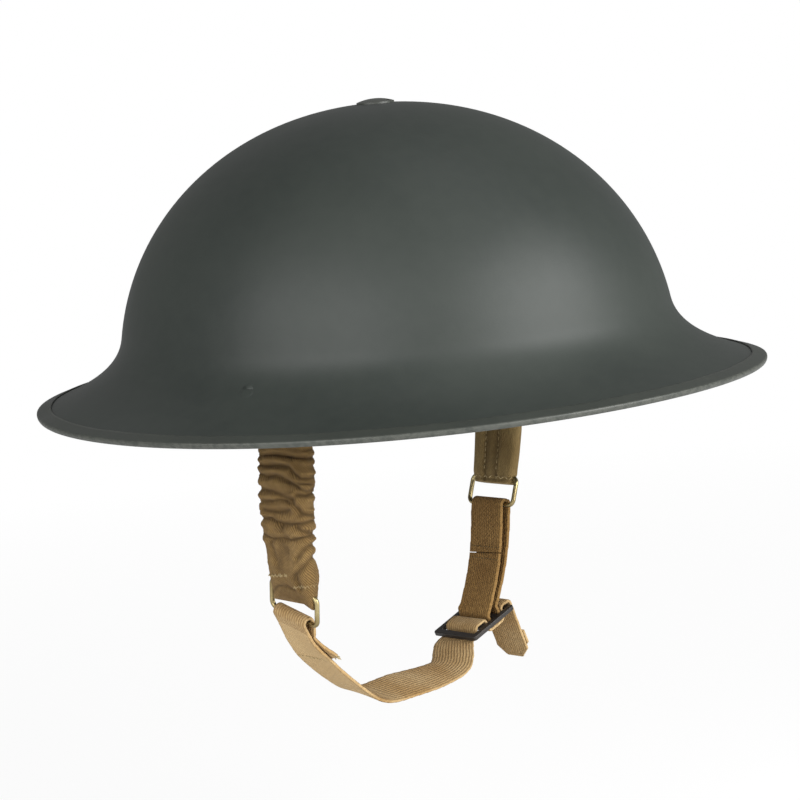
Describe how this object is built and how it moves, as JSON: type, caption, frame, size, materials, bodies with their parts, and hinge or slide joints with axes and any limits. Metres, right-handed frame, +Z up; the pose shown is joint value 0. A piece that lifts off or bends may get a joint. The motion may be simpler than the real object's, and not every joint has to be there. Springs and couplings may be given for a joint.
{
  "type": "brodie helmet",
  "caption": "Wide-brimmed steel helmet with a domed crown, folded rim band, liner, and a sprung canvas and webbing chin strap with a slide buckle.",
  "frame": {"origin": "middle of the head opening, on the plane of the headband's lower edge", "axes": "+X to the front, +Y to the wearer's left, +Z up out of the crown"},
  "size_m": [0.3064, 0.2894, 0.252],
  "materials": {
    "shell_paint": "matte dark olive-grey, worn",
    "rim_paint": "matte dark olive-grey",
    "screw_steel": "dark, satin",
    "rivet_steel": "matte dark olive-grey",
    "plain_steel": "dull",
    "brass": "dull, pale",
    "black_steel": "satin black",
    "canvas": "coarse twill",
    "webbing": "ribbed cotton webbing",
    "headband_cloth": "coated cloth",
    "felt": "felt",
    "fibre": "hard vulcanised fibre",
    "liner_tape": "coated tape",
    "pad_cloth": "cloth over felt",
    "buffer_rubber": "matte"
  },
  "bodies": {
    "helmet": {"shell": "shell_paint", "rim_band": "rim_paint", "crown_screw": "screw_steel", "crown_spacer": "buffer_rubber", "crown_washer": "plain_steel", "crown_nut": "plain_steel", "headband": "headband_cloth", "headband_backing": "felt", "liner_hoop": "fibre", "liner_strap_fore_aft": "liner_tape", "liner_strap_side": "liner_tape", "liner_rivets": "brass", "rubber_buffer_front": "buffer_rubber", "rubber_buffer_left": "buffer_rubber", "rubber_buffer_rear": "buffer_rubber", "rubber_buffer_right": "buffer_rubber", "crown_pad": "pad_cloth", "lug_rivets": "rivet_steel", "lug_washers": "plain_steel"},
    "chinstrap": {"lug_clip_left": "brass", "lug_clip_right": "brass", "lug_bale_left": "brass", "lug_bale_right": "brass", "spring_cover_right": "canvas", "spring_cover_left": "canvas", "strap_springs_right": "plain_steel", "strap_springs_left": "plain_steel", "end_loop_right": "brass", "end_loop_left": "brass", "chin_webbing": "webbing", "adjuster_tab": "webbing", "slide_buckle": "black_steel"}
  },
  "joints": [
    {"name": "chinstrap_swing", "type": "hinge", "parent": "helmet", "child": "chinstrap", "pos_m": [0, 0, 0.007], "axis": [0, 1, 0], "range_deg": [-45, 45]}
  ]
}
